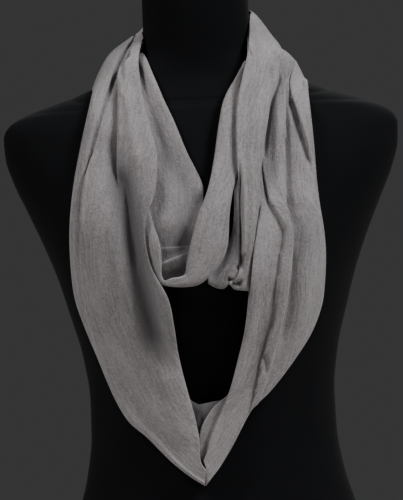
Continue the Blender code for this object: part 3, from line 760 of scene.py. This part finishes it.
# Upper loop, right: the broad face beside the roll, with the loose end of its fold below. It is the
# same viscose weave, folded lengthwise; its outer edge lies on the long loop, and behind the neck it
# runs on as the outer layer.
UPPER_RIGHT_FOLDS = [
    ("face", "plain", 1.0, 0, 0, ALL_THE_WAY),
    ("dip", "plain", -1.0, 0, 0, ALL_THE_WAY),
    ("edge", "return", 0.5, 0, 5, ALL_THE_WAY),
    ("strip", "plain", -7.5, 0, 0, ALL_THE_WAY),
    ("strip_in", "end", -9.0, 0, 0, ALL_THE_WAY),
]
UPPER_RIGHT_FRONT = [
    (322, 324, 3, 9, 9, 32, 325, 40, 34, 28, 22, 12, 3),
    (312, 315, 3, 9.5, 9.5, 32, 315, 41, 34.5, 28, 22, 12, 2.5),
    (307, 311, 4, 12.5, 12.5, 32, 312, 42, 35, 28, 22, 11, 1.5),
    (308.5, 312, 5, 17, 17, 32, 313, 42.5, 36, 28.5, 22, 10.5, 0.5),
    (322, 325, 5, 17, 17, 32, 323, 44.5, 40, 35, 31, 16, 2),
    (340, 341, 5, 17, 17, 33, 340, 47.5, 43, 38.5, 35, 24, 9),
    (360, 360, 5, 17, 17, 35, 360, 50.5, 46, 41, 37, 31.5, 24.5),
    (385, 386, 6, 17, 17.5, 40, 385, 54, 49, 43, 37, 33, 29.5),
    (408, 409, 10, 18.5, 18.5, 45, 408, 56, 50, 44, 37, 34.5, 31),
    (428, 429, 10, 20, 20, 48, 428, 58.5, 51, 43, 35.5, 37, 38),
    (446, 449, 11, 21, 21, 50, 447, 61, 52, 43, 35, 40, 44),
    (474, 473, 12, 22, 22, 55, 474, 67, 57, 46, 35.5, 41, 46),
    (496, 496, 13, 23, 23, 58, 496, 71.5, 61, 49, 38, 44, 49),
]
UPPER_RIGHT_NECK = [
    (80, 517, -62, 43, 520, -78, 3, 16, 7, 0.28, 0.58, 0.98, 0.90, 0.82),
    (84, 537, -26, 51, 549, -52, 3, 12, 7, 0.28, 0.58, 0.98, 0.90, 0.82),
    (89, 538, 22, 54, 580, -8, 3, 12, 7, 0.28, 0.58, 0.98, 0.90, 0.82),
    (78, 526, 70, 54, 588, 27, 11, 12, 7, 0.28, 0.58, 0.98, 0.90, 0.82),
    (48, 514, 96, 35, 590, 60, 10, 14, 7, 0.28, 0.58, 0.98, 0.90, 0.82),
    (0.0, 513, 99, 0.0, 592, 72, 8, 14, 7, 0.28, 0.58, 0.98, 0.90, 0.82),
]
UPPER_RIGHT_RELIEF = [
    ("under_roll", "trough", 3, 5.0, [(27, 380), (24, 360), (20, 346), (16, 337), (8, 327), (-2, 316)]),
    ("slot", "trough", 1.6, 7.0, [(37, 439), (38, 409), (36.5, 358), (35, 326)]),
    ("pocket", "trough", 2.8, 6.0, [(37, 345), (36, 336), (33, 331), (29, 329)]),
    ("lip", "ridge", 2.4, 1.2, [(20, 321), (28, 319.5), (38, 322)]),
    ("curl", "trough", 3.0, 5.0, [(20, 316), (27, 314), (35, 314.5)]),
    ("turned", "step", 4, -1.6, [(52, 554), (55, 542), (59, 530)]),
    ("nick", "trough", 2, 2.0, [(73, 530), (76, 517)]),
    ("body", "ridge", 8, 1.8, [(63, 508), (51, 458), (47, 408), (44, 338)]),
    ("pressed_across", "ridge", 1, 0.35, [(63, 534), (79, 532)]),
    ("pressed_down", "ridge", 1, 0.3, [(68, 551), (66, 529)]),
]
UPPER_RIGHT_BACK = [
    ("nape_low", "trough", 5, 5.0, [(-30, 536), (0, 534), (46, 529), (74, 532), (86, 534)]),
    ("nape_middle", "ridge", 6, 3.2, [(-30, 552), (0, 550), (40, 547), (66, 549), (76, 546)]),
    ("nape_high", "step", 7, 4.5, [(-30, 570), (0, 569), (34, 566), (58, 562), (64, 560)]),
    ("nape_cross", "trough", 4, 3.6, [(14, 560), (36, 557), (58, 545)]),
]
face = cloth_piece(
    "scarf_upper_right", UPPER_RIGHT_FRONT, UPPER_RIGHT_NECK, UPPER_RIGHT_FOLDS, True,
    UPPER_RIGHT_RELIEF, UPPER_RIGHT_BACK, "upper_right",
)

# The foot of that fold is pinched up between its two strands, and its left corner is lifted
NOTCH_TOP = 329.0
NOTCH_X = 20.0
NOTCH_WIDE = 3.2
NOTCH_TALL = 14.0
NOTCH_RISE = 5.0
CORNER_X = -1.0
CORNER_WIDE = 6.0
CORNER_TALL = 18.0
CORNER_RISE = 5.0
for vertex in face.data.vertices:
    x = vertex.co.x / MM
    z = vertex.co.z / MM
    pinch = math.exp(-(((x - NOTCH_X) / NOTCH_WIDE) ** 2))
    pinch *= min(max((NOTCH_TOP - z) / NOTCH_TALL, 0.0), 1.0)
    corner = math.exp(-(((x - CORNER_X) / CORNER_WIDE) ** 2))
    corner *= min(max((NOTCH_TOP - z) / CORNER_TALL, 0.0), 1.0)
    vertex.co.z += (NOTCH_RISE * pinch + CORNER_RISE * corner) * MM

# Lower loop, right: the long strand from the shoulder to the tip, with a strap-like fold lying along
# its inner side. It is the same viscose weave, gathered by hand, and it hangs from the neck; behind
# the neck it is the inner layer.
LOWER_RIGHT_FOLDS = [
    ("edge_fold", "lap", 1.5, -5.0, 4, (420, 480, 505, 515)),
    ("panel", "plain", 0.0, 0, 0, ALL_THE_WAY),
    ("groove", "plain", -2.0, 0, 0, (190, 300, 490, 515)),
    ("ridge", "plain", 1.5, 0, 0, (375, 420, 490, 515)),
    ("strap_out", "plain", 0.5, 0, 0, (200, 250, 380, 410)),
    ("strap_in", "plain", 1.0, 0, 0, (205, 260, 370, 400)),
    ("band", "plain", -1.0, 0, 0, (200, 250, 360, 400)),
    ("band_in", "lap", 0.0, -7.0, 5, (90, 110, 370, 395)),
    ("inner", "end", -7.5, 0, 0, (90, 110, 370, 395)),
]
LOWER_RIGHT_FRONT = [
    (
        114.5, 130, 12, 20, 23, -12.6, 196,
        -10.6, -10.7, -10.8, -10.9, -11.0, -11.1, -11.2, -11.3, -11.4, -11.5,
    ),
    (125, 132, 12, 20, 23, -9, 196.5, -2, -2.4, -3, -3.6, -4.2, -4.8, -5.6, -7.6, -9.6, -10.6),
    (131, 139, 11, 19, 23, -6, 197, 3, 2.5, 1.3, 0.3, -0.8, -2, -4, -7.5, -11.5, -13),
    (152, 145, 10, 18, 23, 0, 198, 17, 16.3, 15, 13.5, 12, 10.5, 7, 0, -9, -14.5),
    (173, 170, 9, 17, 23, 7, 199, 29, 28.2, 27, 25.5, 24, 22, 18, 9.5, 0, -14),
    (188, 190, 8, 16, 22, 14, 201, 38.5, 37.5, 36, 34.5, 33, 31, 27, 18.5, 10, -1),
    (207, 210, 7, 15, 22, 30, 208, 59, 57.5, 54.5, 51, 49.5, 48, 41, 30, 19, 21),
    (237, 241, 6, 14, 21, 52, 240, 84, 80.5, 74.5, 67.5, 65, 62, 52, 40, 29, 35),
    (264, 268, 5, 13, 21, 72, 266, 102.5, 97.5, 87.5, 75.5, 73, 69, 60.5, 48, 36.5, 43),
    (291, 295, 4.5, 13, 21, 88, 293, 113.5, 107.5, 94.5, 81.5, 79, 76, 67, 54, 41, 48),
    (315, 319, 4, 13, 21, 94, 317, 117.5, 111.5, 98.5, 84.5, 82, 79.5, 71, 57, 44, 51),
    (343, 347, 4, 13, 20, 96, 345, 119.5, 113.5, 101, 87.5, 85.5, 83.5, 74, 60, 48, 55),
    (367, 371, 4, 13, 17, 96, 369, 118.5, 113, 101, 89, 87, 84.5, 77, 64, 52, 58),
    (392, 395, 4, 13, 12, 96, 393, 115.5, 110, 98, 84, 80, 74, 67, 62, 57, 53),
    (419, 422, 4, 13, 5, 94, 420, 113.5, 108.5, 97, 83, 76, 70, 65, 60, 56, 50),
    (450, 453, 4, 13, 4.5, 92, 451, 112.5, 106, 95, 83.5, 76, 70, 65.5, 60.5, 56, 50),
    (483, 487, 4, 13, 4.5, 90, 485, 110.5, 98, 90, 83.5, 77, 72, 67, 62, 57, 51),
]
LOWER_RIGHT_NECK = [
    (109, 509, -36, 60, 514, -54, 3, 18, 3.5, 0.38, 0.47, 0.54, 0.61, 0.68, 0.74, 0.82, 0.90),
    (107, 515, 2, 62, 547, -26, 12, 12, 5, 0.28, 0.38, 0.47, 0.56, 0.64, 0.72, 0.81, 0.90),
    (102, 514.5, 40, 58, 556, 8, 8, 10, 4, 0.24, 0.34, 0.44, 0.54, 0.63, 0.72, 0.81, 0.90),
    (80, 507, 67, 48, 552, 40, 2, 8, 3, 0.22, 0.32, 0.42, 0.52, 0.62, 0.72, 0.81, 0.90),
    (44, 502, 80, 28, 556, 57, 2, 8, 3, 0.22, 0.32, 0.42, 0.52, 0.62, 0.72, 0.81, 0.90),
    (0.0, 502, 83, 0.0, 557, 64, 2, 8, 3, 0.22, 0.32, 0.42, 0.52, 0.62, 0.72, 0.81, 0.90),
]
LOWER_RIGHT_RELIEF = [
    ("strand", "step", 7, 5.0, [(84, 531), (85, 497), (83, 446), (81.5, 400), (84, 366)]),
    ("beside_face", "trough", 2.4, 6.0, [(82, 528), (79, 515), (71.5, 496), (66, 467), (62, 438)]),
    ("over", "step", 6, -3.2, [(86, 512), (94, 493), (101, 469), (107, 449), (111, 423)]),
    ("strap_left", "step", 6, -3.0, [
        (59, 440), (65, 399), (79, 366), (74, 337), (64, 279), (53, 245), (40, 196), (28, 168),
    ]),
    ("strap_right", "step", 7, 3.4, [
        (65, 416), (84, 380), (86, 364), (82, 319), (71, 273), (62, 242), (47, 200), (34, 174),
    ]),
    ("valley", "trough", 4, 3.0, [(88, 350), (86, 326), (80, 288), (69, 250)]),
    ("slit", "trough", 1.6, 3.2, [(52, 246), (54.5, 235), (53, 223)]),
    ("panel", "ridge", 10, 2.2, [(97, 421), (102, 364), (95, 306), (74, 249)]),
    ("front", "ridge", 8, 1.6, [(54, 360), (44, 298), (29, 233), (8, 179)]),
    ("pressed", "ridge", 1, 0.35, [(86, 378), (101, 379), (117, 376)]),
]
LOWER_RIGHT_BACK = [
    ("nape_low", "ridge", 6, 1.5, [(-30, 521), (0, 520), (45, 524), (84, 530)]),
    ("shoulder", "trough", 5, 2.5, [(60, 527), (80, 524), (98, 520)]),
]
cloth_piece(
    "scarf_lower_right", LOWER_RIGHT_FRONT, LOWER_RIGHT_NECK, LOWER_RIGHT_FOLDS, True,
    LOWER_RIGHT_RELIEF, LOWER_RIGHT_BACK, "lower_right",
)

# Lower loop, left: the broad long strand, with a deep hollow down its middle and a rolled outer edge.
# It is the same viscose weave, laid almost flat at the chest, and it hangs from the neck; behind the
# neck it is the outer layer.
LOWER_LEFT_FOLDS = [
    ("roll", "plain", 1.0, 0, 0, ALL_THE_WAY),
    ("lap", "lap", 1.5, -3.6, 3, (400, 450, 9998, 9999)),
    ("panel", "plain", -2.0, 0, 0, (260, 380, 9998, 9999)),
    ("crease", "plain", -3.0, 0, 0, (350, 430, 9998, 9999)),
    ("band", "plain", 0.5, 0, 0, (340, 430, 9998, 9999)),
    ("trough", "plain", -1.5, 0, 0, (250, 350, 430, 500)),
    ("inner", "hem", 0, 0, 7, ALL_THE_WAY),
]
LOWER_LEFT_FRONT = [
    (114.5, 130, 12, 21.2, 24.2, -10.0, 196, -11.6, -11.4, -11.2, -11.0, -10.8, -10.6, -10.4, -10.2),
    (122, 138, 12, 19, 23, -14, 196, -23, -22, -21, -19.5, -18, -17, -15.7, -14.5),
    (138, 159, 11, 18, 23, -18, 198, -42, -40, -37.5, -32, -27, -22, -18.5, -15),
    (166, 174, 10, 17, 23, -21, 200, -68, -64, -59, -50, -40, -31, -24, -17),
    (181, 190, 9, 16, 23, -24, 203, -84, -79, -74, -63, -51, -40, -30, -20),
    (204, 206, 8, 15, 22, -29, 209, -97, -92, -86, -72, -59, -47, -36, -24),
    (249, 244, 6, 14, 20, -45, 246, -114, -110, -105, -90, -75, -62, -48, -32),
    (279, 275, 5, 13, 20, -60, 276, -125, -121, -117, -100, -82, -67.5, -52.5, -35.5),
    (306, 302, 4.5, 13, 21, -80, 303, -133, -129, -124, -105, -89, -76, -61, -40),
    (344, 340, 4, 13, 22, -95, 342, -136, -132, -127, -109.5, -93.5, -85.5, -73.5, -57.5),
    (380, 377, 4, 13, 22, -98, 378, -135, -131, -125.5, -109, -92, -87, -78, -60),
    (417, 413, 4, 13, 21, -98, 415, -130, -126, -121, -105, -88, -82, -75, -48),
    (453, 449, 4, 13, 20, -98, 450, -122, -118, -112.5, -99, -85, -77, -69, -45),
    (484, 480, 4, 14, 20, -93, 482, -114, -108.5, -102, -91, -81, -72, -64, -51.5),
]
LOWER_LEFT_NECK = [
    (-108, 514, -46, -57, 511, -68, 2, 18, 8, 0.14, 0.34, 0.46, 0.57, 0.70, 0.83),
    (-107, 517, -10, -60, 545, -46, 8, 14, 7, 0.30, 0.62, 0.71, 0.78, 0.86, 0.93),
    (-102, 521, 30, -54.5, 567, -12, 10, 14, 7, 0.45, 0.87, 0.92, 0.925, 0.93, 0.94),
    (-86, 517, 74, -54, 573, 27, 10, 14, 7, 0.45, 0.88, 0.92, 0.925, 0.93, 0.94),
    (-48, 514, 96, -35, 590, 60, 10, 14, 7, 0.22, 0.45, 0.58, 0.70, 0.82, 0.92),
    (0.0, 513, 99, 0.0, 592, 72, 8, 14, 7, 0.20, 0.42, 0.56, 0.68, 0.80, 0.91),
]
LOWER_LEFT_RELIEF = [
    ("crease", "step", 7, -5.5, [(-64, 551), (-78, 529), (-80, 503), (-83, 462), (-88, 414)]),
    ("panel_edge", "step", 6, -4.4, [
        (-107, 456), (-114, 436), (-118, 420), (-121.5, 398),
        (-123.5, 366), (-123.8, 336), (-122, 305), (-114, 258),
    ]),
    ("hollow", "trough", 11, 11.0, [
        (-86, 470), (-82, 430), (-79, 399), (-75, 363), (-68, 315), (-58, 270), (-44, 222),
    ]),
    # Painted shade down the hollow: this row moves nothing and only darkens the colour
    ("hollow_painted_shade", "shade_only", 13, 13.0, [
        (-84, 460), (-81, 430), (-79, 399), (-74, 363), (-66, 313), (-55, 262), (-42, 225),
    ]),
    ("hollow_edge", "trough", 4, 3.0, [(-84, 440), (-78, 400), (-75, 360), (-72, 330)]),
    ("panel", "ridge", 9, 2.5, [(-100, 465), (-108, 405), (-110, 340), (-100, 264)]),
    ("sliver", "ridge", 2, 1.3, [(-77, 528), (-76, 502)]),
    ("strand", "ridge", 6, 3.0, [(-71, 518), (-69, 478), (-65, 433)]),
    ("fall", "trough", 9, 2.5, [(-93, 232), (-66, 179), (-31, 139)]),
    ("sweep", "ridge", 11, 2.0, [(-60, 272), (-41, 207), (-23, 149)]),
    ("pressed_high", "ridge", 1, 0.35, [(-111, 399), (-94, 402), (-74, 394)]),
    ("pressed_low", "ridge", 1, 0.3, [(-108, 393), (-74, 392)]),
]
LOWER_LEFT_BACK = [
    ("nape_low", "trough", 5, 5.0, [(-94, 529), (-78, 530), (-46, 531), (0, 534), (30, 536)]),
    ("nape_middle", "ridge", 6, 3.2, [(-84, 541), (-70, 545), (-41, 551), (0, 550), (30, 552)]),
    ("nape_high", "step", 7, 4.5, [(-40, 569), (-24, 570), (0, 569), (30, 570)]),
    ("nape_cross", "trough", 4, 3.6, [(-66, 536), (-40, 541), (-12, 541)]),
]
cloth_piece(
    "scarf_lower_left", LOWER_LEFT_FRONT, LOWER_LEFT_NECK, LOWER_LEFT_FOLDS, True,
    LOWER_LEFT_RELIEF, LOWER_LEFT_BACK, "lower_left",
)
